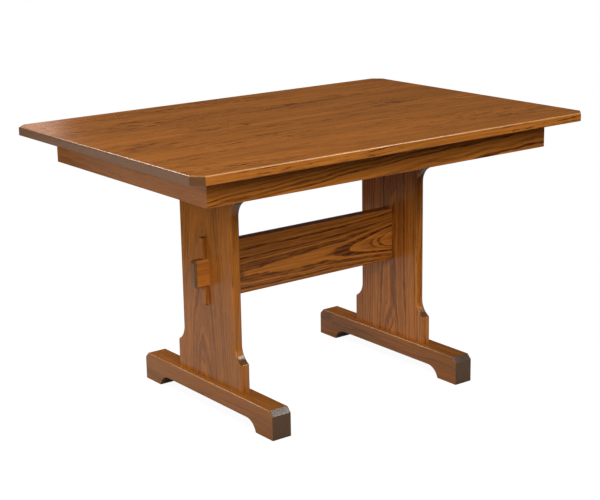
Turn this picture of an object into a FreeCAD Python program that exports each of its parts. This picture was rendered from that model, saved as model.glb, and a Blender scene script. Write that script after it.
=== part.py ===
import FreeCAD, Part
import math
import os

import Sketcher

# Trestle dining table in stained oak, in millimetres. X runs along the table, Y across it and Z up.
# The origin is on the floor, under the middle of the top. Left is -X and front is -Y.

SIZES = {
    # whole table
    "table_height": 762.0,
    "trestle_spacing": 644.0,
    # top
    "top_length": 1300.0,
    "top_width": 900.0,
    "top_thick": 24.0,
    "top_corner_clip": 27.0,
    "top_upper_ease": 4.5,
    "top_lower_ease": 2.0,
    # aprons
    "apron_inset": 83.0,
    "apron_height": 76.0,
    "apron_thick": 19.0,
    "apron_ease": 1.5,
    # corner blocks
    "block_leg": 75.0,
    "block_height": 40.0,
    "block_screw_along": 50.0,
    "block_screw_seat": 12.0,
    "block_screw_bite": 12.0,
    "block_upright_screw_in": 25.0,
    "block_upright_screw_seat": 18.0,
    # yokes
    "yoke_width": 60.0,
    "yoke_height": 58.0,
    "yoke_end_gap": 3.0,
    "yoke_end_chamfer": 25.0,
    "yoke_screw_seat": 30.0,
    # uprights
    "upright_thick": 28.0,
    "shoulder_width": 306.0,
    "shoulder_height": 79.0,
    "waist_width": 246.0,
    "upright_cove_radius": 50.0,
    "upright_ease": 5.0,
    "shoulder_tip_ease": 6.0,
    "stub_width": 200.0,
    "stub_thick": 12.0,
    "stub_length": 30.0,
    # feet
    "foot_length": 622.0,
    "foot_width": 60.0,
    "foot_height": 79.0,
    "foot_end_chamfer": 14.0,
    "foot_ease": 2.5,
    "arch_span": 466.0,
    "arch_height": 30.0,
    "arch_cove_radius": 42.0,
    "glide_radius": 12.0,
    "glide_recess": 4.0,
    "glide_proud": 1.0,
    # stretcher and its wedges
    "stretcher_middle": 385.0,
    "stretcher_height": 154.0,
    "stretcher_thick": 34.0,
    "stretcher_ease": 3.0,
    "tenon_height": 77.0,
    "tenon_thick": 30.0,
    "tenon_beyond": 44.0,
    "tenon_edge_chamfer": 6.0,
    "tenon_end_chamfer": 6.0,
    "wedge_length": 188.0,
    "wedge_below_tenon": 51.0,
    "wedge_top_width": 15.0,
    "wedge_tip_width": 10.0,
    "wedge_thick": 16.0,
    "wedge_end_chamfer": 1.5,
    "wedge_side_gap": 0.3,
    "slot_setback": 4.0,
    # screws
    "screw_radius": 2.5,
    "screw_head_radius": 5.0,
    "screw_head_height": 4.0,
    "screw_driver_gap": 1.5,
    "top_screw_bite": 15.0,
    "lag_radius": 4.0,
    "lag_head_radius": 7.5,
    "lag_head_height": 5.0,
    "lag_socket_gap": 2.0,
    "lag_seat": 11.0,
    "lag_bite": 60.0,
    "lag_spacing": 120.0,
    # cuts run this far past the face that they open
    "overrun": 5.0,
}

BOARD_COUNT = 8
HEX_SIDE_COUNT = 6
HALF_SHARE = 0.5
MATCH_TOLERANCE = 1e-4

LEFT_END, RIGHT_END = -1, 1
FRONT_SIDE, REAR_SIDE = -1, 1
LOWER_SIDE, UPPER_SIDE = -1, 1
HALF_TURN = 180.0
QUARTER_TURN = 90.0

X_AXIS = FreeCAD.Vector(1, 0, 0)
Y_AXIS = FreeCAD.Vector(0, 1, 0)
Z_AXIS = FreeCAD.Vector(0, 0, 1)

doc = FreeCAD.newDocument("trestle_table")
sheet = doc.addObject("Spreadsheet::Sheet", "Sizes")
for row, (alias, length) in enumerate(SIZES.items(), start=1):
    sheet.set("A{}".format(row), alias)
    sheet.set("B{}".format(row), str(length))
    sheet.setAlias("B{}".format(row), alias)
doc.recompute()


class Size:
    """A length, with the sheet formula that gives it."""

    def __init__(self, value, formula):
        self.value = value
        self.formula = formula

    def join(self, sign, other, value):
        return Size(value, "({} {} {})".format(self.formula, sign, as_size(other).formula))

    def __add__(self, other):
        return self.join("+", other, self.value + as_size(other).value)

    def __sub__(self, other):
        return self.join("-", other, self.value - as_size(other).value)

    def __mul__(self, other):
        return self.join("*", other, self.value * as_size(other).value)

    def __truediv__(self, other):
        return self.join("/", other, self.value / as_size(other).value)

    def __neg__(self):
        return self * -1


def as_size(number):
    return number if isinstance(number, Size) else Size(number, "({})".format(number))


def root(size):
    return Size(math.sqrt(size.value), "sqrt({})".format(size.formula))


def sized(alias):
    return Size(float(sheet.get(alias)), "Sizes.{}".format(alias))


ZERO = as_size(0)
overrun = sized("overrun")

# Heights and faces that several pieces share.
table_height = sized("table_height")
top_thick = sized("top_thick")
top_underside = table_height - top_thick
foot_bottom = sized("glide_proud")
foot_top = foot_bottom + sized("foot_height")
yoke_bottom = top_underside - sized("yoke_height")
trestle_x = sized("trestle_spacing") / 2
upright_half = sized("upright_thick") / 2
upright_inner_x = trestle_x - upright_half
upright_outer_x = trestle_x + upright_half
half_length = sized("top_length") / 2
half_width = sized("top_width") / 2
board_width = sized("top_width") / BOARD_COUNT
apron_outer_x = half_length - sized("apron_inset")
apron_outer_y = half_width - sized("apron_inset")
apron_inner_x = apron_outer_x - sized("apron_thick")
apron_inner_y = apron_outer_y - sized("apron_thick")
apron_bottom = top_underside - sized("apron_height")
block_bottom = top_underside - sized("block_height")
tenon_half = sized("tenon_height") / 2
stretcher_middle = sized("stretcher_middle")
wedge_tip = stretcher_middle - tenon_half - sized("wedge_below_tenon")
wedge_head = wedge_tip + sized("wedge_length")
arch_top = foot_bottom + sized("arch_height")


def bind(thing, place, size):
    thing.setExpression(place, size.formula)


def put(thing, x=ZERO, y=ZERO, z=ZERO, axis=Z_AXIS, angle=0):
    """Turns a piece about its own origin, then ties its place to the sheet."""
    place = FreeCAD.Vector(x.value, y.value, z.value)
    thing.Placement = FreeCAD.Placement(place, FreeCAD.Rotation(axis, angle))
    bind(thing, "Placement.Base.x", x)
    bind(thing, "Placement.Base.y", y)
    bind(thing, "Placement.Base.z", z)


# Sketches

def new_sketch(body, role, name, level):
    """A sketch on one of the body's own planes, moved along that plane's normal by level."""
    sketch = body.newObject("Sketcher::SketchObject", name)
    plane = [part for part in body.Origin.OriginFeatures if part.Role == role]
    sketch.AttachmentSupport = [(plane[0], "")]
    sketch.MapMode = "FlatFace"
    bind(sketch, "AttachmentOffset.Base.z", level)
    return sketch


def pin(sketch, index, end, point):
    for kind, size in zip(("DistanceX", "DistanceY"), point):
        rule = sketch.addConstraint(Sketcher.Constraint(kind, -1, 1, index, end, size.value))
        bind(sketch, "Constraints[{}]".format(rule), size)


def cove_arc(start, end, radius):
    """The arc from start to end that is hollow towards the outside of an outline drawn counter-clockwise."""
    chord = end - start
    outward = FreeCAD.Vector(chord.y, -chord.x, 0).normalize()
    reach = math.sqrt(radius ** 2 - (chord.Length / 2) ** 2)
    centre = (start + end) / 2 + outward * reach
    first = math.atan2(end.y - centre.y, end.x - centre.x)
    last = math.atan2(start.y - centre.y, start.x - centre.x)
    return Part.ArcOfCircle(Part.Circle(centre, Z_AXIS, radius), first, last)


def outline(sketch, points, coves=()):
    """A closed outline through points, counter-clockwise. A cove is (index of its first point, radius)."""
    radius_from = dict(coves)
    places = [FreeCAD.Vector(x.value, y.value, 0) for x, y in points]
    count = len(points)
    base = sketch.GeometryCount
    for index, start in enumerate(places):
        end = places[(index + 1) % count]
        if index in radius_from:
            sketch.addGeometry(cove_arc(start, end, radius_from[index].value))
        else:
            sketch.addGeometry(Part.LineSegment(start, end))
    # An arc always runs counter-clockwise, so along a cove its ends are the other way round.
    first_end = [2 if index in radius_from else 1 for index in range(count)]
    last_end = [1 if index in radius_from else 2 for index in range(count)]
    for index, point in enumerate(points):
        before = (index - 1) % count
        sketch.addConstraint(Sketcher.Constraint(
            "Coincident", base + before, last_end[before], base + index, first_end[index]))
        pin(sketch, base + index, first_end[index], point)
    for index, radius in radius_from.items():
        rule = sketch.addConstraint(Sketcher.Constraint("Radius", base + index, radius.value))
        bind(sketch, "Constraints[{}]".format(rule), radius)


def rectangle(sketch, half_wide, low, high):
    outline(sketch, [(-half_wide, low), (half_wide, low), (half_wide, high), (-half_wide, high)])


# Features

def new_body(label):
    body = doc.addObject("PartDesign::Body", label)
    body.Label = label
    return body


def pad(body, sketch, length):
    feature = body.newObject("PartDesign::Pad", sketch.Name + "_pad")
    feature.Profile = sketch
    bind(feature, "Length", length)
    doc.recompute()
    return feature


def pocket(body, sketch, length):
    """Cuts against the sketch's normal, and stops if nothing was cut."""
    before = body.Shape.Volume
    feature = body.newObject("PartDesign::Pocket", sketch.Name + "_pocket")
    feature.Profile = sketch
    bind(feature, "Length", length)
    doc.recompute()
    if not feature.Shape.Volume < before:
        raise RuntimeError("{} cut nothing".format(feature.Name))
    return feature


def dress(body, kind, size_name, size, keep):
    """A fillet or chamfer on the edges of the body's tip that keep accepts."""
    base = body.Tip
    names = ["Edge{}".format(index) for index, edge in enumerate(base.Shape.Edges, start=1) if keep(edge)]
    feature = body.newObject("PartDesign::" + kind, "{}_{}".format(body.Name, kind.lower()))
    feature.Base = (base, names)
    bind(feature, size_name, size)
    doc.recompute()
    return feature


def fillet(body, radius, keep):
    return dress(body, "Fillet", "Radius", radius, keep)


def chamfer(body, size, keep):
    return dress(body, "Chamfer", "Size", size, keep)


def near(first, second):
    return abs(first - second) < MATCH_TOLERANCE


def lies_at(edge, axis, size):
    """True where all of the edge is at that value of x, y or z."""
    box = edge.BoundBox
    low = {"x": box.XMin, "y": box.YMin, "z": box.ZMin}[axis]
    high = {"x": box.XMax, "y": box.YMax, "z": box.ZMax}[axis]
    return near(low, size.value) and near(high, size.value)


def drilled(label, blank, tools):
    """The blank with the room cut out for what goes through it."""
    blank.Label = label + "_blank"
    cut = doc.addObject("Part::Cut", label + "_drilled")
    cut.Base = blank
    cut.Tool = tools
    cut.Label = label
    return cut


def group(label, pieces):
    compound = doc.addObject("Part::Compound", label)
    compound.Links = pieces
    compound.Label = label
    return compound


def cylinder(name, radius, height):
    peg = doc.addObject("Part::Cylinder", name)
    bind(peg, "Radius", radius)
    bind(peg, "Height", height)
    return peg


# Screws, glides and the sockets that hide their heads

def wood_screw(name, length):
    """A pan-headed screw, with its head below z = 0 and its shank above."""
    shank = cylinder(name + "_shank", sized("screw_radius"), length)
    head = cylinder(name + "_head", sized("screw_head_radius"), sized("screw_head_height"))
    put(head, z=-sized("screw_head_height"))
    screw = doc.addObject("Part::Fuse", name)
    screw.Base = shank
    screw.Tool = head
    return screw


def driver_socket(name, depth):
    """The round socket below a screw's seat that lets its head and a driver in."""
    socket = cylinder(name, sized("screw_head_radius") + sized("screw_driver_gap"), depth)
    return socket


def lag_screw(name, length):
    """A hexagon-headed screw, with its head below z = 0 and its shank above."""
    shank = cylinder(name + "_shank", sized("lag_radius"), length)
    head = doc.addObject("Part::Prism", name + "_head")
    head.Polygon = HEX_SIDE_COUNT
    bind(head, "Circumradius", sized("lag_head_radius"))
    bind(head, "Height", sized("lag_head_height"))
    put(head, z=-sized("lag_head_height"))
    screw = doc.addObject("Part::Fuse", name)
    screw.Base = shank
    screw.Tool = head
    return screw


def board_middle(index):
    return board_width * (index + HALF_SHARE) - half_width


def is_screwed(index):
    """True for a board that the yokes are screwed to: neither an outer one nor one of the middle pair."""
    from_edge = min(index, BOARD_COUNT - 1 - index)
    return 0 < from_edge < BOARD_COUNT // 2 - 1


def make_yoke_screws():
    seat = sized("yoke_screw_seat")
    screws = []
    sockets = []
    for side in (LEFT_END, RIGHT_END):
        for board in filter(is_screwed, range(BOARD_COUNT)):
            tag = "yoke_screw_{}_{}".format("left" if side == LEFT_END else "right", board)
            screw = wood_screw(tag, seat + sized("top_screw_bite"))
            put(screw, trestle_x * side, board_middle(board), top_underside - seat)
            socket = driver_socket(tag + "_socket", sized("yoke_height") - seat + overrun)
            put(socket, trestle_x * side, board_middle(board), yoke_bottom - overrun)
            screws.append(screw)
            sockets.append(socket)
    return group("yoke_screws", screws), group("yoke_sockets", sockets)


def make_lag_screws():
    seat = sized("lag_seat")
    length = seat + sized("lag_bite")
    floor_of_mortise = foot_top - sized("stub_length")
    screws = []
    sockets = []
    for side in (LEFT_END, RIGHT_END):
        for place in (FRONT_SIDE, REAR_SIDE):
            tag = "lag_screw_{}_{}".format("left" if side == LEFT_END else "right",
                                           "front" if place == FRONT_SIDE else "rear")
            along = sized("lag_spacing") / 2 * place
            screw = lag_screw(tag, length)
            put(screw, trestle_x * side, along, floor_of_mortise - seat)
            socket = cylinder(tag + "_socket", sized("lag_head_radius") + sized("lag_socket_gap"),
                              floor_of_mortise - seat - arch_top + overrun)
            put(socket, trestle_x * side, along, arch_top - overrun)
            screws.append(screw)
            sockets.append(socket)
    return group("foot_lag_screws", screws), group("lag_sockets", sockets)


def make_corner_screws():
    """Two level screws from each corner block into its aprons, and one up into the top."""
    seat = sized("block_screw_seat")
    along = sized("block_screw_along")
    level_length = seat + sized("block_screw_bite")
    level_z = block_bottom + sized("block_height") / 2
    upright_in = sized("block_upright_screw_in")
    upright_seat = sized("block_upright_screw_seat")
    socket_depth = sized("block_leg")
    level_screws = []
    upright_screws = []
    sockets = []
    for side in (LEFT_END, RIGHT_END):
        for place in (FRONT_SIDE, REAR_SIDE):
            tag = "corner_{}_{}".format("left" if side == LEFT_END else "right",
                                        "front" if place == FRONT_SIDE else "rear")
            to_long = wood_screw(tag + "_long_screw", level_length)
            put(to_long, (apron_inner_x - along) * side, (apron_inner_y - seat) * place, level_z,
                X_AXIS, -QUARTER_TURN * place)
            to_end = wood_screw(tag + "_end_screw", level_length)
            put(to_end, (apron_inner_x - seat) * side, (apron_inner_y - along) * place, level_z,
                Y_AXIS, QUARTER_TURN * side)
            up = wood_screw(tag + "_up_screw", upright_seat + sized("top_screw_bite"))
            put(up, (apron_inner_x - upright_in) * side, (apron_inner_y - upright_in) * place,
                top_underside - upright_seat)
            long_socket = driver_socket(tag + "_long_socket", socket_depth)
            put(long_socket, (apron_inner_x - along) * side, (apron_inner_y - seat) * place, level_z,
                X_AXIS, QUARTER_TURN * place)
            end_socket = driver_socket(tag + "_end_socket", socket_depth)
            put(end_socket, (apron_inner_x - seat) * side, (apron_inner_y - along) * place, level_z,
                Y_AXIS, -QUARTER_TURN * side)
            up_socket = driver_socket(tag + "_up_socket", sized("block_height") - upright_seat + overrun)
            put(up_socket, (apron_inner_x - upright_in) * side, (apron_inner_y - upright_in) * place,
                block_bottom - overrun)
            level_screws += [to_long, to_end]
            upright_screws.append(up)
            sockets += [long_socket, end_socket, up_socket]
    return (group("corner_block_screws", level_screws), group("apron_top_screws", upright_screws),
            group("corner_sockets", sockets))


def make_glides():
    glides = []
    pad_middle = (sized("foot_length") + sized("arch_span")) / 4
    for side in (LEFT_END, RIGHT_END):
        for place in (FRONT_SIDE, REAR_SIDE):
            tag = "glide_{}_{}".format("left" if side == LEFT_END else "right",
                                       "front" if place == FRONT_SIDE else "rear")
            glide = cylinder(tag, sized("glide_radius"), sized("glide_recess") + sized("glide_proud"))
            put(glide, trestle_x * side, pad_middle * place)
            glides.append(glide)
    return group("foot_glides", glides)


# Wooden pieces

def make_top_board(index, tools):
    """One board of the top, full length. The two outer boards have the clipped corners."""
    label = "top_board_{}".format(index + 1)
    clip = sized("top_corner_clip")
    front = board_width * index - half_width
    rear = board_width * (index + 1) - half_width
    body = new_body(label + "_body")
    sketch = new_sketch(body, "XY_Plane", label + "_outline", top_underside)
    if index == 0:
        corners = [(clip - half_length, front), (half_length - clip, front), (half_length, front + clip),
                   (half_length, rear), (-half_length, rear), (-half_length, front + clip)]
    elif index == BOARD_COUNT - 1:
        corners = [(-half_length, front), (half_length, front), (half_length, rear - clip),
                   (half_length - clip, rear), (clip - half_length, rear), (-half_length, rear - clip)]
    else:
        corners = [(-half_length, front), (half_length, front), (half_length, rear), (-half_length, rear)]
    outline(sketch, corners)
    pad(body, sketch, top_thick)

    def on_rim(edge):
        seam_front = index > 0 and lies_at(edge, "y", front)
        seam_rear = index < BOARD_COUNT - 1 and lies_at(edge, "y", rear)
        return not (seam_front or seam_rear)

    fillet(body, sized("top_upper_ease"), lambda edge: lies_at(edge, "z", table_height) and on_rim(edge))
    fillet(body, sized("top_lower_ease"), lambda edge: lies_at(edge, "z", top_underside) and on_rim(edge))
    return drilled(label, body, tools)


def make_apron(label, long_side, angle, tools):
    """A mitred board of the skirt under the top, drawn at the front or left and turned into place."""
    body = new_body(label + "_body")
    sketch = new_sketch(body, "XY_Plane", label + "_outline", apron_bottom)
    if long_side:
        outline(sketch, [(-apron_outer_x, -apron_outer_y), (apron_outer_x, -apron_outer_y),
                         (apron_inner_x, -apron_inner_y), (-apron_inner_x, -apron_inner_y)])
    else:
        outline(sketch, [(-apron_outer_x, apron_outer_y), (-apron_outer_x, -apron_outer_y),
                         (-apron_inner_x, -apron_inner_y), (-apron_inner_x, apron_inner_y)])
    pad(body, sketch, sized("apron_height"))
    outer_axis, outer_face = ("y", -apron_outer_y) if long_side else ("x", -apron_outer_x)
    fillet(body, sized("apron_ease"),
           lambda edge: lies_at(edge, "z", apron_bottom) and lies_at(edge, outer_axis, outer_face))
    put(body, angle=angle)
    return drilled(label, body, tools)


def make_corner_block(label, side, place, tools):
    """A three-cornered block glued and screwed into a corner of the skirt, under the top."""
    leg = sized("block_leg")
    body = new_body(label + "_body")
    sketch = new_sketch(body, "XY_Plane", label + "_outline", block_bottom)
    corner = (apron_inner_x * side, apron_inner_y * place)
    along = ((apron_inner_x - leg) * side, apron_inner_y * place)
    across = (apron_inner_x * side, (apron_inner_y - leg) * place)
    outline(sketch, [corner, along, across] if side * place > 0 else [corner, across, along])
    pad(body, sketch, sized("block_height"))
    return drilled(label, body, tools)


def make_yoke(label, side, tools):
    """The cross rail on top of an upright, chamfered under its ends and mortised for the upright's stub."""
    half = apron_inner_y - sized("yoke_end_gap")
    wide = sized("yoke_width")
    slope = sized("yoke_end_chamfer")
    body = new_body(label + "_body")
    sketch = new_sketch(body, "YZ_Plane", label + "_outline", -wide / 2)
    outline(sketch, [(slope - half, yoke_bottom), (half - slope, yoke_bottom), (half, yoke_bottom + slope),
                     (half, top_underside), (-half, top_underside), (-half, yoke_bottom + slope)])
    pad(body, sketch, wide)
    stub_top = yoke_bottom + sized("stub_length")
    mortise = new_sketch(body, "YZ_Plane", label + "_mortise", sized("stub_thick") / 2)
    rectangle(mortise, sized("stub_width") / 2, yoke_bottom - overrun, stub_top)
    pocket(body, mortise, sized("stub_thick"))
    put(body, trestle_x * side)
    return drilled(label, body, tools)


def make_upright(label, side, tools):
    """A plank with a waist between coved shoulders, a stub at each end and a mortise for the stretcher."""
    shoulder = sized("shoulder_width") / 2
    waist = sized("waist_width") / 2
    radius = sized("upright_cove_radius")
    inset = shoulder - waist
    cove_rise = root(inset * 2 * radius - inset * inset)
    low_tip = foot_top + sized("shoulder_height")
    low_waist = low_tip + cove_rise
    high_tip = yoke_bottom - sized("shoulder_height")
    high_waist = high_tip - cove_rise
    body = new_body(label + "_body")
    sketch = new_sketch(body, "YZ_Plane", label + "_outline", -upright_half)
    outline(sketch, [(-shoulder, foot_top), (shoulder, foot_top), (shoulder, low_tip), (waist, low_waist),
                     (waist, high_waist), (shoulder, high_tip), (shoulder, yoke_bottom),
                     (-shoulder, yoke_bottom), (-shoulder, high_tip), (-waist, high_waist),
                     (-waist, low_waist), (-shoulder, low_tip)],
            coves=[(2, radius), (4, radius), (8, radius), (10, radius)])
    pad(body, sketch, sized("upright_thick"))

    def on_tip(edge):
        on_shoulder = lies_at(edge, "y", shoulder) or lies_at(edge, "y", -shoulder)
        return on_shoulder and (lies_at(edge, "z", low_tip) or lies_at(edge, "z", high_tip))

    fillet(body, sized("shoulder_tip_ease"), on_tip)

    def on_side(edge):
        flat_end = lies_at(edge, "z", foot_top) or lies_at(edge, "z", yoke_bottom)
        return (lies_at(edge, "x", upright_half) or lies_at(edge, "x", -upright_half)) and not flat_end

    fillet(body, sized("upright_ease"), on_side)
    stub = new_sketch(body, "YZ_Plane", label + "_stub", -sized("stub_thick") / 2)
    rectangle(stub, sized("stub_width") / 2, foot_top - sized("stub_length"),
              yoke_bottom + sized("stub_length"))
    pad(body, stub, sized("stub_thick"))
    mortise = new_sketch(body, "YZ_Plane", label + "_mortise", upright_half)
    rectangle(mortise, sized("tenon_thick") / 2, stretcher_middle - tenon_half, stretcher_middle + tenon_half)
    pocket(body, mortise, sized("upright_thick"))
    put(body, trestle_x * side)
    return drilled(label, body, tools)


def make_foot(label, side, tools):
    """A sled foot with chamfered top ends and a coved arch that leaves a pad at each end."""
    half = sized("foot_length") / 2
    wide = sized("foot_width")
    slope = sized("foot_end_chamfer")
    radius = sized("arch_cove_radius")
    rise = sized("arch_height")
    arch_end = sized("arch_span") / 2
    arch_flat = arch_end - root(rise * 2 * radius - rise * rise)
    body = new_body(label + "_body")
    sketch = new_sketch(body, "YZ_Plane", label + "_outline", -wide / 2)
    outline(sketch, [(-half, foot_bottom), (-arch_end, foot_bottom), (-arch_flat, arch_top),
                     (arch_flat, arch_top), (arch_end, foot_bottom), (half, foot_bottom),
                     (half, foot_top - slope), (half - slope, foot_top), (slope - half, foot_top),
                     (-half, foot_top - slope)],
            coves=[(1, radius), (3, radius)])
    pad(body, sketch, wide)

    def on_side(edge):
        return ((lies_at(edge, "x", wide / 2) or lies_at(edge, "x", -wide / 2))
                and not lies_at(edge, "z", foot_bottom))

    fillet(body, sized("foot_ease"), on_side)
    mortise = new_sketch(body, "YZ_Plane", label + "_mortise", sized("stub_thick") / 2)
    rectangle(mortise, sized("stub_width") / 2, foot_top - sized("stub_length"), foot_top + overrun)
    pocket(body, mortise, sized("stub_thick"))
    put(body, trestle_x * side)
    return drilled(label, body, tools)


def wedge_outline(sketch, side, inner):
    """The tapered outline that a wedge and its slot share, from inner to the wedge's sloping face."""
    outer_low = upright_outer_x + sized("wedge_tip_width")
    outer_high = upright_outer_x + sized("wedge_top_width")
    corners = [(inner, wedge_tip), (outer_low, wedge_tip), (outer_high, wedge_head), (inner, wedge_head)]
    if side == LEFT_END:
        corners = [(-x, z) for x, z in reversed(corners)]
    outline(sketch, corners)


def corner_cuts(sketch):
    """A three-cornered cut at each long edge of a tenon, which leaves a chamfer there."""
    leg = sized("tenon_edge_chamfer") + overrun * 2
    for across in (FRONT_SIDE, REAR_SIDE):
        for up in (LOWER_SIDE, UPPER_SIDE):
            y = (sized("tenon_thick") / 2 + overrun) * across
            z = stretcher_middle + (tenon_half + overrun) * up
            along = (y - leg * across, z)
            down = (y, z - leg * up)
            outline(sketch, [(y, z), along, down] if across * up > 0 else [(y, z), down, along])


def make_stretcher(label):
    """A board on edge between the uprights, with a tenon through each and a slot in each tenon."""
    half_tall = sized("stretcher_height") / 2
    thick = sized("stretcher_thick")
    tenon_end = upright_outer_x + sized("tenon_beyond")
    body = new_body(label)
    board = new_sketch(body, "XZ_Plane", label + "_board", -thick / 2)
    rectangle(board, upright_inner_x, stretcher_middle - half_tall, stretcher_middle + half_tall)
    pad(body, board, thick)
    fillet(body, sized("stretcher_ease"),
           lambda edge: ((lies_at(edge, "z", stretcher_middle - half_tall)
                          or lies_at(edge, "z", stretcher_middle + half_tall))
                         and (lies_at(edge, "y", thick / 2) or lies_at(edge, "y", -thick / 2))))
    tenon = new_sketch(body, "XZ_Plane", label + "_tenon", -sized("tenon_thick") / 2)
    rectangle(tenon, tenon_end, stretcher_middle - tenon_half, stretcher_middle + tenon_half)
    pad(body, tenon, sized("tenon_thick"))
    for end_name, level in (("left", -upright_outer_x), ("right", tenon_end)):
        corners = new_sketch(body, "YZ_Plane", "{}_{}_tenon_corners".format(label, end_name), level)
        corner_cuts(corners)
        pocket(body, corners, sized("tenon_beyond"))
    chamfer(body, sized("tenon_end_chamfer"),
            lambda edge: lies_at(edge, "x", tenon_end) or lies_at(edge, "x", -tenon_end))
    slot_thick = sized("wedge_thick") + sized("wedge_side_gap") * 2
    for side in (LEFT_END, RIGHT_END):
        slot = new_sketch(body, "XZ_Plane", "{}_slot_{}".format(label, side + 1), slot_thick / 2)
        wedge_outline(slot, side, upright_outer_x - sized("slot_setback"))
        pocket(body, slot, slot_thick)
    return body


def make_wedge(label, side):
    """A tapered key, flat against the upright and sloping where it bears on the tenon's slot."""
    body = new_body(label)
    sketch = new_sketch(body, "XZ_Plane", label + "_outline", -sized("wedge_thick") / 2)
    wedge_outline(sketch, side, upright_outer_x)
    pad(body, sketch, sized("wedge_thick"))
    chamfer(body, sized("wedge_end_chamfer"),
            lambda edge: lies_at(edge, "z", wedge_head) or lies_at(edge, "z", wedge_tip))
    return body


def make_table():
    yoke_screws, yoke_sockets = make_yoke_screws()
    lag_screws, lag_sockets = make_lag_screws()
    corner_screws, top_screws, corner_sockets = make_corner_screws()
    glides = make_glides()
    in_top = group("room_in_top", [yoke_screws, top_screws])
    in_blocks = group("room_in_blocks", [corner_screws, top_screws, corner_sockets])
    in_yokes = group("room_in_yokes", [yoke_screws, yoke_sockets])
    in_feet = group("room_in_feet", [lag_screws, lag_sockets, glides])
    pieces = [make_top_board(index, in_top) for index in range(BOARD_COUNT)]
    pieces += [
        make_apron("front_apron", True, 0, corner_screws),
        make_apron("rear_apron", True, HALF_TURN, corner_screws),
        make_apron("left_apron", False, 0, corner_screws),
        make_apron("right_apron", False, HALF_TURN, corner_screws),
    ]
    for side, side_name in ((LEFT_END, "left"), (RIGHT_END, "right")):
        for place, place_name in ((FRONT_SIDE, "front"), (REAR_SIDE, "rear")):
            label = "corner_block_{}_{}".format(place_name, side_name)
            pieces.append(make_corner_block(label, side, place, in_blocks))
        pieces += [
            make_yoke(side_name + "_yoke", side, in_yokes),
            make_upright(side_name + "_upright", side, lag_screws),
            make_foot(side_name + "_foot", side, in_feet),
            make_wedge(side_name + "_wedge", side),
        ]
    pieces.append(make_stretcher("stretcher"))
    pieces += [yoke_screws, lag_screws, corner_screws, top_screws, glides]
    return pieces


def write_parts(pieces):
    doc.recompute()
    for thing in doc.Objects:
        if "Invalid" in thing.State or "Error" in thing.State:
            raise RuntimeError("{} failed: {}".format(thing.Name, thing.getStatusString()))
    for piece in pieces:
        if piece.Shape.isNull() or not piece.Shape.isValid():
            raise RuntimeError("{} has no valid shape".format(piece.Label))
    os.makedirs("parts", exist_ok=True)
    for piece in pieces:
        piece.Shape.exportStep("parts/{}.step".format(piece.Label))
        print("{}: {} solids, {:.0f} mm3".format(piece.Label, len(piece.Shape.Solids), piece.Shape.Volume))


write_parts(make_table())
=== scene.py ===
import math

import bpy
from mathutils import Matrix, Vector


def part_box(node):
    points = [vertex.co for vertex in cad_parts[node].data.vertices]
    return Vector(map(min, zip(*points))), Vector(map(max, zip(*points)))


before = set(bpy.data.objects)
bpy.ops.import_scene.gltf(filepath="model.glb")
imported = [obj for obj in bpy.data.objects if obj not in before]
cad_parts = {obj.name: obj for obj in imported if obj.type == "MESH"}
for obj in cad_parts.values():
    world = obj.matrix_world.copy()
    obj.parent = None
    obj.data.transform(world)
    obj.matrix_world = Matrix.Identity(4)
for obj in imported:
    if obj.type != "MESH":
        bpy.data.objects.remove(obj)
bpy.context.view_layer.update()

# A stained oak trestle table on a white studio floor, in metres. X runs along the table, Y across it, Z up.

# Where the camera stands: its bearing round the table, how far it looks down, and what it aims at
IMAGE_WIDTH_PX = 600
FOCAL_LENGTH_PX = 1434.65
SENSOR_WIDTH_MM = 36.0
CAMERA_BEARING = math.radians(-37.084)
CAMERA_RISE = math.radians(15.119)
CAMERA_ROLL = math.radians(-0.977)
CAMERA_DISTANCE = 4.0469
CAMERA_AIM_ASIDE = -0.0151
CAMERA_AIM_HEIGHT = 0.3869
UP = Vector((0, 0, 1))

# The floor throws some light back, glows to the camera and takes a faint shadow. In the polish it glows as a
# painted pool of light near the table, fading away from it, with painted contact shade where the table is near
FLOOR_SIDE = 60.0
FLOOR_BOUNCE = 0.20
FLOOR_GLOW = 0.93
FLOOR_SHADE = 0.13
FLOOR_IN_POLISH = 0.45
CONTACT_SHADE_REACH = 0.20
LIT_FLOOR_MIDDLE = (-0.3, 0.2, 0.0)
LIT_FLOOR_NEAR = 1.0
LIT_FLOOR_FAR = 1.6

# The room's light on the table, and its brightness in the polish
ROOM_LIGHT = 0.05
ROOM_IN_POLISH = 0.04

WHITE = (1, 1, 1, 1)

# Softboxes face the table, unless they have an aim of their own. They light the wood, show in its polish, or
# both. An area lamp takes four watts a square metre for a brightness of 1
TABLE_AIM = (0.0, 0.0, 0.6)
WATTS_FOR_BRIGHTNESS = 4.0
SHEEN_COLOUR = (1.0, 0.72, 0.62)
SOFTBOXES = {
    "key_panel": dict(place=(0.85, -2.1, 2.35), width=0.7, height=0.8, brightness=7.9, in_polish=False),
    "glint_panel": dict(place=(1.6, -1.85, 2.3), width=0.7, height=0.8, brightness=14.0, on_wood=False),
    "front_panel": dict(place=(-1.05, -2.5, 2.15), width=2.0, height=1.4, brightness=4.95, in_polish=False),
    "left_panel": dict(place=(-3.2, -0.85, 1.55), width=1.6, height=1.2, brightness=5.45, in_polish=False),
    "sky_panel": dict(place=(-1.1, 0.4, 2.9), width=1.6, height=1.2, brightness=0.8, in_polish=False),
    "rear_panel": dict(place=(0.3, 3.2, 0.95), width=1.8, height=0.8, brightness=4.5, in_polish=False),
    "right_panel": dict(place=(3.2, 0.3, 0.95), width=1.6, height=0.8, brightness=5.5, in_polish=False),
    "rim_panel": dict(place=(-1.0, 2.6, 2.85), width=1.9, height=0.9, brightness=8.1),
    "sheen_panel": dict(place=(0.2, 3.3, 1.25), width=1.5, height=0.9, brightness=0.85, colour=SHEEN_COLOUR),
    "low_card": dict(place=(-1.2, 0.8, 0.48), aim=(0.0, 0.8, 0.48), width=1.2, height=0.28, brightness=0.48),
}


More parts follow.
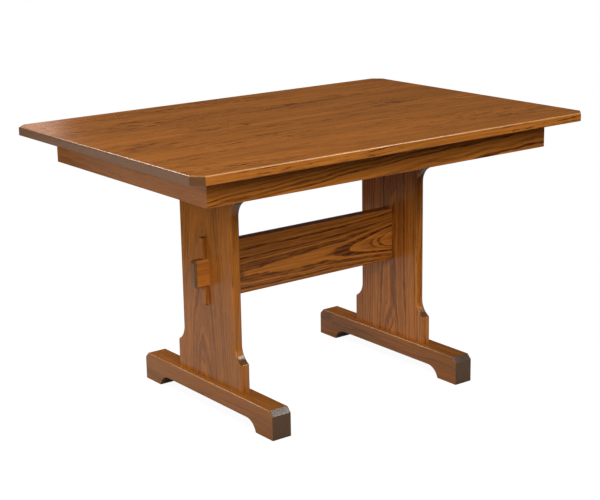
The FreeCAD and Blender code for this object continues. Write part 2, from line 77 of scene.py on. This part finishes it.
def set_camera():
    back = Vector((math.sin(CAMERA_BEARING) * math.cos(CAMERA_RISE),
                   -math.cos(CAMERA_BEARING) * math.cos(CAMERA_RISE),
                   math.sin(CAMERA_RISE)))
    level = (-back).cross(UP).normalized()
    over = level.cross(-back)
    across = level * math.cos(CAMERA_ROLL) + over * math.sin(CAMERA_ROLL)
    upward = over * math.cos(CAMERA_ROLL) - level * math.sin(CAMERA_ROLL)
    aim = level * CAMERA_AIM_ASIDE + UP * CAMERA_AIM_HEIGHT
    bpy.ops.object.camera_add()
    camera = bpy.context.object
    camera.name = "photo_camera"
    camera.data.sensor_width = SENSOR_WIDTH_MM
    camera.data.lens = FOCAL_LENGTH_PX / IMAGE_WIDTH_PX * SENSOR_WIDTH_MM
    camera.matrix_world = (Matrix.Translation(aim + back * CAMERA_DISTANCE)
                           @ Matrix((across, upward, back)).transposed().to_4x4())
    bpy.context.scene.camera = camera


class Bench:
    """An empty node tree, with short ways to lay nodes out in it and join them."""

    def __init__(self, tree):
        self.tree = tree
        tree.nodes.clear()

    def node(self, kind, **settings):
        node = self.tree.nodes.new(kind)
        for name, value in settings.items():
            setattr(node, name, value)
        return node

    def feed(self, socket, source):
        """Joins another node's socket to this one, or sets this one to a plain value."""
        if isinstance(source, bpy.types.NodeSocket):
            self.tree.links.new(source, socket)
        else:
            socket.default_value = source

    def maths(self, operation, *values):
        node = self.node("ShaderNodeMath", operation=operation)
        for socket, value in zip(node.inputs, values):
            self.feed(socket, value)
        return node.outputs[0]

    def span(self, value, low, high, new_low=0.0, new_high=1.0):
        """Eases value from the range low to high into a new range."""
        node = self.node("ShaderNodeMapRange", interpolation_type="SMOOTHSTEP")
        self.feed(node.inputs["Value"], value)
        self.feed(node.inputs["From Min"], low)
        self.feed(node.inputs["From Max"], high)
        self.feed(node.inputs["To Min"], new_low)
        self.feed(node.inputs["To Max"], new_high)
        return node.outputs["Result"]

    def ramp(self, value, stops):
        """A grey value read off a ramp of (place, grey) stops."""
        node = self.node("ShaderNodeValToRGB")
        marks = node.color_ramp.elements
        while len(marks) < len(stops):
            marks.new(1.0)
        for mark, (place, grey) in zip(marks, stops):
            mark.position = place
            mark.color = (grey, grey, grey, 1)
        self.feed(node.inputs["Fac"], value)
        return node.outputs["Color"]

    def between(self, share, first, second):
        """The first number, turning into the second as share goes from 0 to 1."""
        node = self.node("ShaderNodeMix", data_type="FLOAT")
        self.feed(node.inputs[0], share)
        self.feed(node.inputs[2], first)
        self.feed(node.inputs[3], second)
        return node.outputs[0]

    def blend(self, share, first, second):
        """The first colour, turning into the second as share goes from 0 to 1."""
        node = self.node("ShaderNodeMix", data_type="RGBA")
        self.feed(node.inputs[0], share)
        self.feed(node.inputs[6], first)
        self.feed(node.inputs[7], second)
        return node.outputs[2]

    def either(self, share, first, second):
        """The first shader, giving way to the second as share goes from 0 to 1."""
        node = self.node("ShaderNodeMixShader")
        self.feed(node.inputs[0], share)
        self.feed(node.inputs[1], first)
        self.feed(node.inputs[2], second)
        return node.outputs[0]

    def scaled(self, vector, factor):
        node = self.node("ShaderNodeVectorMath", operation="SCALE")
        self.feed(node.inputs[0], vector)
        self.feed(node.inputs["Scale"], factor)
        return node.outputs[0]

    def dot(self, vector, direction):
        node = self.node("ShaderNodeVectorMath", operation="DOT_PRODUCT")
        self.feed(node.inputs[0], vector)
        node.inputs[1].default_value = direction
        return node.outputs["Value"]

    def noise(self, place, per_metre, detail):
        """Noise of about that many changes per metre along the grain, across it and through it."""
        stretch = self.node("ShaderNodeVectorMath", operation="MULTIPLY")
        self.feed(stretch.inputs[0], place)
        self.feed(stretch.inputs[1], per_metre)
        node = self.node("ShaderNodeTexNoise")
        self.feed(node.inputs["Vector"], stretch.outputs[0])
        node.inputs["Scale"].default_value = 1.0
        node.inputs["Detail"].default_value = detail
        return node.outputs[0]

    def show(self, surface):
        self.feed(self.node("ShaderNodeOutputMaterial").inputs["Surface"], surface)


def new_finish(name):
    material = bpy.data.materials.new(name)
    material.use_nodes = True
    return material, Bench(material.node_tree)


# Studio

def make_floor():
    """A white floor with the table's soft shadow on it, clear from below. In the polish it glows as a painted
    pool of light that fades out a few steps away, darkened by painted contact shade near the table."""
    bpy.ops.mesh.primitive_plane_add(size=FLOOR_SIDE)
    floor = bpy.context.object
    floor.name = "studio_floor"
    material, bench = new_finish("floor_white")
    material.cycles.emission_sampling = "NONE"
    path = bench.node("ShaderNodeLightPath").outputs
    seen = bench.maths("MAXIMUM", path["Is Camera Ray"],
                       bench.maths("MAXIMUM", path["Is Glossy Ray"], path["Is Transmission Ray"]))
    away = bench.node("ShaderNodeVectorMath", operation="DISTANCE")
    bench.feed(away.inputs[0], bench.node("ShaderNodeTexCoord").outputs["Object"])
    away.inputs[1].default_value = LIT_FLOOR_MIDDLE
    edge = bench.span(away.outputs["Value"], LIT_FLOOR_NEAR, LIT_FLOOR_FAR)
    # Painted contact shade: ambient occlusion darkens the floor's glow in the polish where the table stands
    # close
    contact = bench.node("ShaderNodeAmbientOcclusion")
    contact.inputs["Distance"].default_value = CONTACT_SHADE_REACH
    in_polish = bench.maths("MULTIPLY", bench.maths("MULTIPLY_ADD", edge, -FLOOR_IN_POLISH, FLOOR_IN_POLISH),
                            contact.outputs["AO"])
    to_camera = bench.maths("MULTIPLY_ADD", edge, 1.0 - FLOOR_GLOW, FLOOR_GLOW)

    bounce = bench.node("ShaderNodeBsdfDiffuse")
    bounce.inputs["Color"].default_value = (FLOOR_BOUNCE, FLOOR_BOUNCE, FLOOR_BOUNCE, 1)
    shade = bench.node("ShaderNodeBsdfDiffuse")
    bench.feed(shade.inputs["Color"], bench.maths("MULTIPLY_ADD", edge, -FLOOR_SHADE, FLOOR_SHADE))
    glow = bench.node("ShaderNodeEmission")
    glow.inputs["Color"].default_value = WHITE
    bench.feed(glow.inputs["Strength"], bench.between(path["Is Glossy Ray"], to_camera, in_polish))
    lit = bench.node("ShaderNodeAddShader")
    bench.feed(lit.inputs[0], shade.outputs[0])
    bench.feed(lit.inputs[1], glow.outputs[0])
    from_above = bench.either(seen, bounce.outputs[0], lit.outputs[0])
    below = bench.node("ShaderNodeNewGeometry").outputs["Backfacing"]
    bench.show(bench.either(below, from_above, bench.node("ShaderNodeBsdfTransparent").outputs[0]))
    floor.data.materials.append(material)


def make_room():
    """White to the camera, an even soft light on the table, and a dim room in the polish."""
    world = bpy.data.worlds.new("studio_room")
    bpy.context.scene.world = world
    world.use_nodes = True
    world.cycles.sampling_method = "NONE"
    bench = Bench(world.node_tree)
    path = bench.node("ShaderNodeLightPath").outputs
    on_table = bench.between(path["Is Glossy Ray"], ROOM_LIGHT, ROOM_IN_POLISH)
    seen = bench.maths("MAXIMUM", path["Is Camera Ray"], path["Is Transmission Ray"])
    room = bench.node("ShaderNodeBackground")
    room.inputs["Color"].default_value = WHITE
    bench.feed(room.inputs["Strength"], bench.between(seen, on_table, 1.0))
    bench.feed(bench.node("ShaderNodeOutputWorld").inputs["Surface"], room.outputs[0])


def soft_panel(name, place, width, height, brightness, aim=TABLE_AIM, colour=(1, 1, 1), on_wood=True,
               in_polish=True):
    bpy.ops.object.light_add(type="AREA", location=place)
    panel = bpy.context.object
    panel.name = name
    panel.rotation_euler = (Vector(aim) - Vector(place)).to_track_quat("-Z", "Y").to_euler()
    panel.data.shape = "RECTANGLE"
    panel.data.size = width
    panel.data.size_y = height
    panel.data.energy = WATTS_FOR_BRIGHTNESS * width * height * brightness
    panel.data.color = colour
    panel.visible_camera = False
    panel.visible_diffuse = on_wood
    panel.visible_glossy = in_polish


def light_table():
    for name, settings in SOFTBOXES.items():
        soft_panel(name, **settings)


# Oak

# The wood's noises: changes per metre along the grain, across it and through it, and how much finer detail
# each has
DRIFT = ((1.7, 7.0, 7.0), 2.0)
RIPPLE = ((9.0, 45.0, 45.0), 3.0)
DASHES = ((24.0, 260.0, 260.0), 2.0)
FIBRES = ((6.0, 300.0, 300.0), 3.0)
TONE = ((1.3, 9.0, 9.0), 2.0)
SPECKS = ((32.0, 900.0, 900.0), 1.0)
FLECKS = ((26.0, 260.0, 260.0), 2.0)
FLECK_CLUSTERS = ((2.2, 7.0, 7.0), 1.0)
NOISE_MIDDLE = 0.5

# Rings: how a log's sweep grows along it, how much of their waver is ripple, and how often and how much the
# years differ in width
SWEEP_POWER = 5.0
RIPPLE_SHARE = 0.30
YEARS_PACE = 0.37
YEARS_SPREAD = 1.3

# How porous the wood is through one year's growth, as (share of the ring, porosity)
PORES_IN_YEAR = ((0.0, 1.0), (0.20, 0.95), (0.36, 0.45), (0.55, 0.10), (0.90, 0.0), (1.0, 1.0))

# A slanting cut through the grain drinks in more stain than a square one: its colour, against a square cut's
SLANTING_CUT = 0.62

# Spans that ease a range into a new one, which is 0 to 1 where none is given
YEAR_STRENGTH = (0.0, 0.8, 0.20, 1.0)
DASH_STRENGTH = (0.34, 0.60, 0.55, 1.0)
OPEN_SPECKS = (0.52, 0.72)
FLECK_EDGE = (0.47, 0.60)
FLECKS_IN_RINGS = (0.0, 0.9, 0.12, 1.0)
FLECKS_GATHERED = (0.42, 0.62, 0.25, 1.0)
FIBRE_SHADE = (0.25, 0.75, 0.82, 1.18)
TONE_SHADE = (0.25, 0.75, -0.14, 0.14)
FIBRE_ROUGHNESS = (0.25, 0.75, 0.20, 0.27)
END_MOTTLE = (0.2, 0.8, 1.15, 0.85)
END_GRAIN_SHOWS = (0.40, 0.75)
SQUARE_CUT = (0.75, 0.95, SLANTING_CUT, 1.0)
ARRIS_STARTS = (0.10, 0.45)
LEVEL_FACE = (0.80, 0.99)
ALONG_GRAIN = (0.30, 0.60)

# Pores: how many lie in the early wood and elsewhere, how dark and how rough they are, and how the surface
# dips in them. END_RINGS is how dark the early wood is on a cut end
PORES_IN_EARLY_WOOD = 0.75
PORES_ELSEWHERE = 0.25
PORE_DARKNESS = 0.45
PORE_ROUGHNESS = 0.25
PORE_RELIEF = -1.0
FIBRE_RELIEF = 0.3
END_RINGS = 0.25
RELIEF_STRENGTH = 0.25
RELIEF_DEPTH = 0.0004
LACQUER_SHINE = 0.45

# Stains, in linear colour
STAIN_LATE = (0.420, 0.138, 0.019)
STAIN_EARLY = (0.060, 0.013, 0.003)
# WEAR_AND_HIGHLIGHT_COLOUR is the stain worn thin on the arrises: partly real wear and partly a painted
# highlight along them
WEAR_AND_HIGHLIGHT_COLOUR = (0.62, 0.34, 0.14)
TOP_END = (0.212, 0.101, 0.046)
FOOT_END = (0.104, 0.049, 0.017)
COVE_END = (0.20, 0.085, 0.026)
TENON_END = (0.29, 0.135, 0.05)

# Where a figure fades at a board's ends: over what length, and to what share
QUIET_FADE = 0.012
QUIET_SHARE = 0.25

# A board's own axes are along the grain, across it and through it. These turns bring its grain onto the first
GRAIN_TURNS = {
    "X": Matrix.Identity(3),
    "Y": Matrix.Rotation(math.radians(-90), 3, "Z"),
    "Z": Matrix.Rotation(math.radians(90), 3, "Y"),
}
GRAIN_WAYS = {"X": Vector((1, 0, 0)), "Y": Vector((0, 1, 0)), "Z": Vector((0, 0, 1))}

GRAIN_TAKES = {
    "NodeSocketVector": ("Place",),
    "NodeSocketFloat": ("End grain", "Wear and highlight", "Ring width", "Waver", "Sweep", "Figure", "Streaks"),
    "NodeSocketColor": ("Late wood", "Early wood", "End colour", "Wear and highlight colour"),
}
GRAIN_GIVES = {"NodeSocketColor": ("Colour",), "NodeSocketFloat": ("Roughness", "Relief")}


def grow_rings(bench, given):
    """How porous the wood is through its rings, and how dark the early wood in them is."""
    place = given["Place"]
    split = bench.node("ShaderNodeSeparateXYZ")
    bench.feed(split.inputs[0], place)
    sweep = bench.maths("MULTIPLY", given["Sweep"], bench.maths("POWER", split.outputs["X"], SWEEP_POWER))
    across = bench.maths("ADD", split.outputs["Y"], sweep)
    through = split.outputs["Z"]
    from_pith = bench.maths("SQRT", bench.maths("ADD", bench.maths("MULTIPLY", across, across),
                                                bench.maths("MULTIPLY", through, through)))
    drift = bench.maths("SUBTRACT", bench.noise(place, *DRIFT), NOISE_MIDDLE)
    ripple = bench.maths("SUBTRACT", bench.noise(place, *RIPPLE), NOISE_MIDDLE)
    swerve = bench.maths("MULTIPLY_ADD", ripple, RIPPLE_SHARE, drift)
    bent = bench.maths("MULTIPLY_ADD", swerve, given["Waver"], from_pith)
    even = bench.maths("DIVIDE", bent, given["Ring width"])
    widths = bench.node("ShaderNodeTexNoise", noise_dimensions="1D")
    bench.feed(widths.inputs["W"], bench.maths("MULTIPLY", even, YEARS_PACE))
    ring = bench.maths("MULTIPLY_ADD", widths.outputs[0], YEARS_SPREAD, even)
    year = bench.node("ShaderNodeTexWhiteNoise", noise_dimensions="1D")
    bench.feed(year.inputs["W"], bench.maths("FLOOR", ring))
    porous = bench.ramp(bench.maths("FRACT", ring), PORES_IN_YEAR)
    strength = bench.span(year.outputs["Value"], *YEAR_STRENGTH)
    dashes = bench.span(bench.noise(place, *DASHES), *DASH_STRENGTH)
    return porous, bench.maths("MULTIPLY", bench.maths("MULTIPLY", porous, strength), dashes)


def make_oak_grain():
    """Solid oak as a log grows it: rings round the pith, porous early wood, fibres and open pores along the
    grain."""
    grain = bpy.data.node_groups.new("oak_grain", "ShaderNodeTree")
    for way, sockets in (("INPUT", GRAIN_TAKES), ("OUTPUT", GRAIN_GIVES)):
        for kind, names in sockets.items():
            for name in names:
                grain.interface.new_socket(name, in_out=way, socket_type=kind)
    bench = Bench(grain)
    given = bench.node("NodeGroupInput").outputs
    made = bench.node("NodeGroupOutput").inputs
    place = given["Place"]
    porous, early = grow_rings(bench, given)

    fibre = bench.noise(place, *FIBRES)
    speck = bench.noise(place, *SPECKS)
    often = bench.maths("MULTIPLY_ADD", early, PORES_IN_EARLY_WOOD, PORES_ELSEWHERE)
    open_pores = bench.maths("MULTIPLY", bench.span(speck, *OPEN_SPECKS), often)
    in_rings = bench.maths("MULTIPLY", bench.span(bench.noise(place, *FLECKS), *FLECK_EDGE),
                           bench.span(porous, *FLECKS_IN_RINGS))
    gathered = bench.span(bench.noise(place, *FLECK_CLUSTERS), *FLECKS_GATHERED)
    streaks = bench.maths("MULTIPLY", bench.maths("MULTIPLY", in_rings, given["Streaks"]), gathered)

    darkened = bench.maths("MAXIMUM", bench.maths("MULTIPLY", early, given["Figure"]), streaks)
    figured = bench.blend(bench.maths("MINIMUM", darkened, 1.0), given["Late wood"], given["Early wood"])
    pored = bench.blend(bench.maths("MULTIPLY", open_pores, PORE_DARKNESS), figured, given["Early wood"])
    shading = bench.maths("ADD", bench.span(fibre, *FIBRE_SHADE),
                          bench.span(bench.noise(place, *TONE), *TONE_SHADE))
    long_grain = bench.scaled(pored, shading)
    mottle = bench.maths("SUBTRACT", bench.span(speck, *END_MOTTLE),
                         bench.maths("MULTIPLY", early, END_RINGS))
    square_cut = bench.span(given["End grain"], *SQUARE_CUT)
    cut_across = bench.scaled(given["End colour"], bench.maths("MULTIPLY", mottle, square_cut))
    sawn = bench.blend(bench.span(given["End grain"], *END_GRAIN_SHOWS), long_grain, cut_across)
    # Lightens the rubbed arrises: partly worn stain, partly a painted highlight
    bench.feed(made["Colour"], bench.blend(given["Wear and highlight"], sawn, given["Wear and highlight colour"]))
    bench.feed(made["Roughness"], bench.maths("MULTIPLY_ADD", open_pores, PORE_ROUGHNESS,
                                              bench.span(fibre, *FIBRE_ROUGHNESS)))
    bench.feed(made["Relief"], bench.maths("MULTIPLY_ADD", fibre, FIBRE_RELIEF,
                                           bench.maths("MULTIPLY", open_pores, PORE_RELIEF)))
    return grain


oak_grain = make_oak_grain()


def shade_of(stain, factor):
    return tuple(part * factor for part in stain) + (1,)


def dress(node, material):
    """Puts the finish on every material slot of a piece."""
    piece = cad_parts[node]
    if not piece.material_slots:
        piece.data.materials.append(material)
    for slot in piece.material_slots:
        slot.material = material


def oak(name, node, grain_way, pith, lean=(0.0, 0.0), sweep=0.0, ring=0.007, waver=0.02, figure=0.6,
        streaks=0.2, tone_and_painted_light=1.0, end_colour=FOOT_END, wear_and_highlight=0.2, quiet_beyond=None, upper_painted_shade=1.0):
    """Stained oak for one piece. pith is how far the log's middle lies from the piece's own middle, lean is
    how many degrees the log slopes in the board, and sweep bends it more and more steeply along the length.
    ring is the rings' usual width, waver is how far they stray, and figure and streaks are how dark the early
    wood and its flecks are. depth scales the stain, darker below 1: partly the piece's own tone and partly
    painted light and shade, fitted to how the lamps light the piece. rubbed is how thin the stain has worn on
    the arrises along the grain, partly real wear and partly a painted highlight along them. quiet_beyond is
    how far from the table's middle, along the grain, the figure fades, and upper_painted_shade darkens the
    upper face with painted shade, standing in for the shadow that falls on it."""
    low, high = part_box(node)
    slope = Matrix.Rotation(math.radians(lean[0]), 3, "Y") @ Matrix.Rotation(math.radians(lean[1]), 3, "Z")
    turn = slope @ GRAIN_TURNS[grain_way]
    middle = (low + high) / 2 + Vector(pith)

    material, bench = new_finish(name)
    seat = bench.node("ShaderNodeTexCoord").outputs
    place = bench.node("ShaderNodeMapping", vector_type="POINT")
    place.inputs["Location"].default_value = -(turn @ middle)
    place.inputs["Rotation"].default_value = turn.to_euler()
    bench.feed(place.inputs["Vector"], seat["Object"])
    end_grain = bench.maths("ABSOLUTE", bench.dot(seat["Normal"], GRAIN_WAYS[grain_way]))
    upward = bench.dot(seat["Normal"], UP)
    # The arrises between level and upright faces: there rubbed lightens the stain, partly as real wear and
    # partly as a painted highlight
    arris = bench.maths("MULTIPLY", bench.span(upward, *ARRIS_STARTS),
                        bench.span(upward, *LEVEL_FACE, 1.0, 0.0))

    grain = bench.node("ShaderNodeGroup", node_tree=oak_grain)
    bench.feed(grain.inputs["Place"], place.outputs[0])
    bench.feed(grain.inputs["End grain"], end_grain)
    bench.feed(grain.inputs["Wear and highlight"],
               bench.maths("MULTIPLY", arris, bench.span(end_grain, *ALONG_GRAIN, wear_and_highlight, 0.0)))
    grain.inputs["Ring width"].default_value = ring
    grain.inputs["Waver"].default_value = waver
    grain.inputs["Sweep"].default_value = sweep
    if quiet_beyond is None:
        grain.inputs["Figure"].default_value = figure
    else:
        reach = bench.maths("ABSOLUTE", bench.dot(seat["Object"], GRAIN_WAYS[grain_way]))
        bench.feed(grain.inputs["Figure"], bench.span(reach, quiet_beyond, quiet_beyond + QUIET_FADE,
                                                      figure, figure * QUIET_SHARE))
    grain.inputs["Streaks"].default_value = streaks
    # depth scales each piece's stain: partly its own tone, partly painted light and shade fitted to how the
    # lamps light it
    grain.inputs["Late wood"].default_value = shade_of(STAIN_LATE, tone_and_painted_light)
    grain.inputs["Early wood"].default_value = shade_of(STAIN_EARLY, tone_and_painted_light)
    grain.inputs["End colour"].default_value = shade_of(end_colour, 1.0)
    grain.inputs["Wear and highlight colour"].default_value = shade_of(WEAR_AND_HIGHLIGHT_COLOUR, 1.0)

    relief = bench.node("ShaderNodeBump")
    relief.inputs["Strength"].default_value = RELIEF_STRENGTH
    relief.inputs["Distance"].default_value = RELIEF_DEPTH
    bench.feed(relief.inputs["Height"], grain.outputs["Relief"])
    lacquer = bench.node("ShaderNodeBsdfPrincipled")
    lacquer.inputs["Specular IOR Level"].default_value = LACQUER_SHINE
    # upper_painted_shade paints shade on the upper face: level faces are darkened like the shadow that falls
    # on them
    bench.feed(lacquer.inputs["Base Color"],
               bench.scaled(grain.outputs["Colour"], bench.span(upward, *LEVEL_FACE, 1.0, upper_painted_shade)))
    bench.feed(lacquer.inputs["Roughness"], grain.outputs["Roughness"])
    bench.feed(lacquer.inputs["Normal"], relief.outputs["Normal"])
    bench.show(lacquer.outputs[0])
    dress(node, material)


# The top's boards: where each one's pith lies across it and through it, how its log leans, and how far along
# the log the next board is cut
BOARD_PITHS = ((0.05, -0.10), (-0.03, 0.12), (0.03, -0.09), (0.01, 0.13),
               (-0.02, -0.12), (0.03, 0.10), (-0.02, 0.11), (0.02, -0.10))
BOARD_LEANS = ((1.2, 0.3), (-0.9, 0.2), (0.7, -0.4), (1.5, 0.2),
               (-1.2, -0.3), (0.8, 0.4), (-1.4, 0.1), (1.0, -0.2))
BOARD_STEP = 0.3


def finish_top():
    for index, ((across, through), lean) in enumerate(zip(BOARD_PITHS, BOARD_LEANS), start=1):
        oak("oak_top_{}".format(index), "top_board_{}".format(index), "X",
            pith=(BOARD_STEP * index, across, through), lean=lean, ring=0.007, waver=0.025, figure=0.35,
            streaks=0.95, tone_and_painted_light=1.12, end_colour=TOP_END, wear_and_highlight=0.62)


def finish_aprons():
    oak("oak_front_apron", "front_apron", "X", pith=(0.2, 0.055, -0.085), lean=(3.0, 0.6), ring=0.0085,
        waver=0.040, figure=1.0, streaks=0.35, tone_and_painted_light=1.35)
    oak("oak_rear_apron", "rear_apron", "X", pith=(1.1, -0.06, -0.02), lean=(0.3, -2.0), ring=0.008,
        waver=0.035, figure=0.9, streaks=0.4, tone_and_painted_light=0.85)
    oak("oak_left_apron", "left_apron", "Y", pith=(0.30, 0.3, 0.05), lean=(0.3, 0.4), ring=0.006,
        figure=0.25, streaks=0.15, tone_and_painted_light=0.95)
    oak("oak_right_apron", "right_apron", "Y", pith=(-0.25, 0.9, 0.06), lean=(0.3, -0.4), ring=0.006,
        figure=0.3, streaks=0.15, tone_and_painted_light=0.95)


def finish_trestles():
    oak("oak_left_upright", "left_upright", "Z", pith=(0.071, 0.02, 0.0), lean=(-4.0, 0.3), ring=0.009,
        waver=0.022, figure=0.55, tone_and_painted_light=1.05, end_colour=COVE_END)
    oak("oak_right_upright", "right_upright", "Z", pith=(0.09, -0.03, 1.4), lean=(-1.5, 0.3), ring=0.009,
        waver=0.03, figure=0.75, tone_and_painted_light=1.25, end_colour=COVE_END)
    oak("oak_left_foot", "left_foot", "Y", pith=(0.12, 0.5, -0.03), lean=(0.8, 0.8), ring=0.008,
        waver=0.02, figure=0.4, tone_and_painted_light=0.81, wear_and_highlight=0.5)
    oak("oak_right_foot", "right_foot", "Y", pith=(0.12, 1.5, 0.02), lean=(-0.8, 0.8), ring=0.008,
        waver=0.025, figure=0.5, tone_and_painted_light=0.78, wear_and_highlight=0.5)
    oak("oak_left_yoke", "left_yoke", "Y", pith=(0.10, 0.5, -0.06), lean=(0.8, 0.5), figure=0.5)
    oak("oak_right_yoke", "right_yoke", "Y", pith=(0.10, 1.3, -0.06), lean=(0.8, 0.5), figure=0.5)
    # The stretcher: upper_painted_shade paints the table top's shadow onto its upper face
    oak("oak_stretcher", "stretcher", "X", pith=(-0.30, 0.035, -0.022), lean=(1.0, 0.0), sweep=0.30,
        ring=0.0090, waver=0.022, figure=1.0, tone_and_painted_light=1.4, end_colour=TENON_END, quiet_beyond=0.328,
        upper_painted_shade=0.4)
    oak("oak_left_wedge", "left_wedge", "Z", pith=(0.03, 0.05, 0.2), lean=(0.5, 0.3), figure=0.4,
        tone_and_painted_light=1.15)
    oak("oak_right_wedge", "right_wedge", "Z", pith=(0.03, 0.05, 0.9), lean=(0.5, 0.3), figure=0.4,
        tone_and_painted_light=1.15)


def finish_corner_blocks():
    for side, turn in (("left", 0.2), ("right", 0.8)):
        for place, step in (("front", 0.1), ("rear", 0.3)):
            name = "corner_block_{}_{}".format(place, side)
            oak("oak_" + name, name, "X", pith=(turn + step, 0.06, -0.05), lean=(1.0, 0.5), figure=0.4)


# Fixings: their colours, and a fine mottle in them

STEEL = (0.42, 0.40, 0.36)
STEEL_PER_METRE = (400.0, 400.0, 900.0)
NYLON = (0.10, 0.075, 0.055)
NYLON_PER_METRE = (300.0, 300.0, 300.0)
MOTTLE_DETAIL = 3.0
MOTTLE_SPAN = (0.2, 0.8)
MOTTLE_DARK = 0.8
MOTTLE_LIGHT = 1.2
MOTTLE_ROUGHNESS = 0.1


def plain(name, node, colour, metallic, roughness, per_metre):
    """A finish with a fine mottle in its colour and its polish."""
    material, bench = new_finish(name)
    mottle = bench.noise(bench.node("ShaderNodeTexCoord").outputs["Object"], per_metre, MOTTLE_DETAIL)
    shader = bench.node("ShaderNodeBsdfPrincipled")
    shader.inputs["Metallic"].default_value = metallic
    bench.feed(shader.inputs["Base Color"],
               bench.blend(mottle, shade_of(colour, MOTTLE_DARK), shade_of(colour, MOTTLE_LIGHT)))
    bench.feed(shader.inputs["Roughness"], bench.span(mottle, *MOTTLE_SPAN, roughness - MOTTLE_ROUGHNESS,
                                                      roughness + MOTTLE_ROUGHNESS))
    bench.show(shader.outputs[0])
    dress(node, material)


def finish_fixings():
    for node in ("yoke_screws", "foot_lag_screws", "corner_block_screws", "apron_top_screws"):
        plain("steel_" + node, node, STEEL, metallic=1.0, roughness=0.38, per_metre=STEEL_PER_METRE)
    plain("nylon_glides", "foot_glides", NYLON, metallic=0.0, roughness=0.5, per_metre=NYLON_PER_METRE)


bpy.ops.object.select_all(action="DESELECT")
bpy.context.scene.view_settings.view_transform = "Standard"
set_camera()
make_floor()
make_room()
light_table()
finish_top()
finish_aprons()
finish_trestles()
finish_corner_blocks()
finish_fixings()
